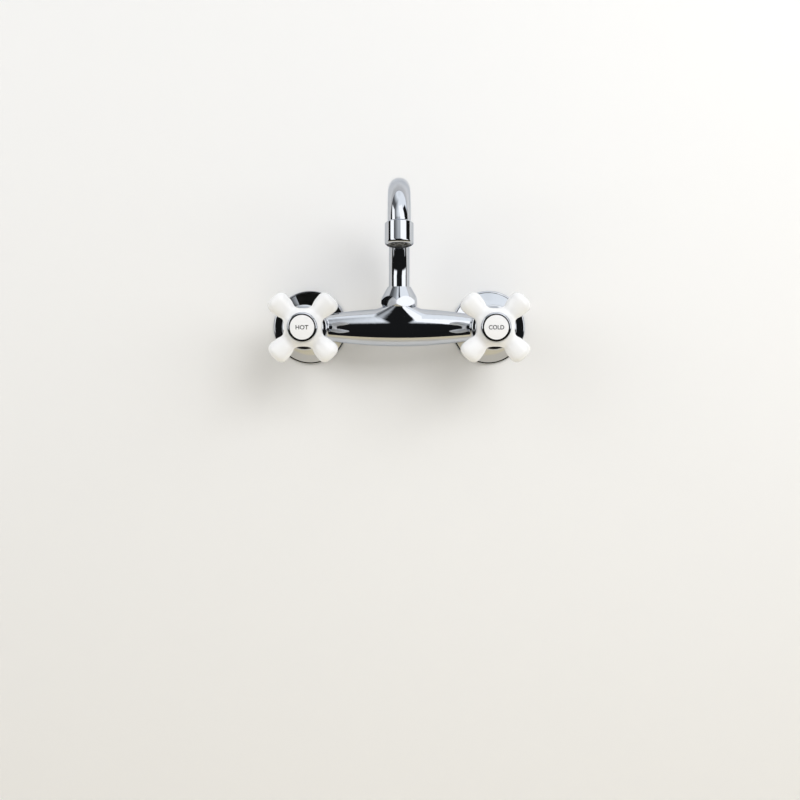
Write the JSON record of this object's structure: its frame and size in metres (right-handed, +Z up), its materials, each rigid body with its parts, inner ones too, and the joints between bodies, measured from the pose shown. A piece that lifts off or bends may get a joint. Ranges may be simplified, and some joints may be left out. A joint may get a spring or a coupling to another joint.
{
  "type": "wall-mounted mixer tap",
  "caption": "Wall-mounted mixer tap: chrome bar body on eccentric wall unions, porcelain cross handles and a swivelling swan-neck spout with an aerator.",
  "frame": {"origin": "midway between the two wall inlets, on the wall's surface", "axes": "+X to the right along the bar, +Y into the wall, +Z up"},
  "size_m": [0.212, 0.2016, 0.1432],
  "materials": {
    "chrome": "polished",
    "porcelain": "glazed",
    "brass": "machined",
    "rubber": "matt",
    "disc_ceramic": "lapped",
    "steel": "plain",
    "nylon": "matt"
  },
  "bodies": {
    "body": {"mixer_body": "chrome", "spout_nut": "chrome", "hot_escutcheon": "chrome", "hot_eccentric_union": "brass", "hot_union_nut": "chrome", "hot_inlet_washer": "rubber", "hot_union_tail": "chrome", "hot_headwork": "brass", "hot_headwork_gasket": "rubber", "hot_headwork_seal": "rubber", "hot_fixed_disc": "disc_ceramic", "hot_bonnet": "chrome", "cold_escutcheon": "chrome", "cold_eccentric_union": "brass", "cold_union_nut": "chrome", "cold_inlet_washer": "rubber", "cold_union_tail": "chrome", "cold_headwork": "brass", "cold_headwork_gasket": "rubber", "cold_headwork_seal": "rubber", "cold_fixed_disc": "disc_ceramic", "cold_bonnet": "chrome"},
    "hot_handle": {"hot_handle_cross": "porcelain", "hot_handle_insert": "brass", "hot_handle_screw": "steel", "hot_index_ring": "chrome", "hot_index_button": "porcelain", "hot_spindle": "brass", "hot_spindle_o_ring": "rubber", "hot_spindle_clip": "steel", "hot_turning_disc": "disc_ceramic"},
    "cold_handle": {"cold_handle_cross": "porcelain", "cold_handle_insert": "brass", "cold_handle_screw": "steel", "cold_index_ring": "chrome", "cold_index_button": "porcelain", "cold_spindle": "brass", "cold_spindle_o_ring": "rubber", "cold_spindle_clip": "steel", "cold_turning_disc": "disc_ceramic"},
    "spout": {"spout_tube": "chrome", "spout_spigot": "brass", "spout_o_rings": "rubber", "spout_slip_ring": "nylon", "aerator_housing": "chrome", "aerator_washer": "rubber", "aerator_screen": "steel", "aerator_insert": "nylon"}
  },
  "joints": [
    {"name": "hot_handle_turn", "type": "hinge", "parent": "body", "child": "hot_handle", "pos_m": [-0.075, -0.085, 0.008], "axis": [0, -1, 0], "range_deg": [0, 90]},
    {"name": "cold_handle_turn", "type": "hinge", "parent": "body", "child": "cold_handle", "pos_m": [0.075, -0.085, 0.008], "axis": [0, -1, 0], "range_deg": [0, 90]},
    {"name": "spout_swivel", "type": "hinge", "parent": "body", "child": "spout", "pos_m": [0, -0.048, 0.038], "axis": [0, 0, 1], "range_deg": [-100, 100]}
  ]
}
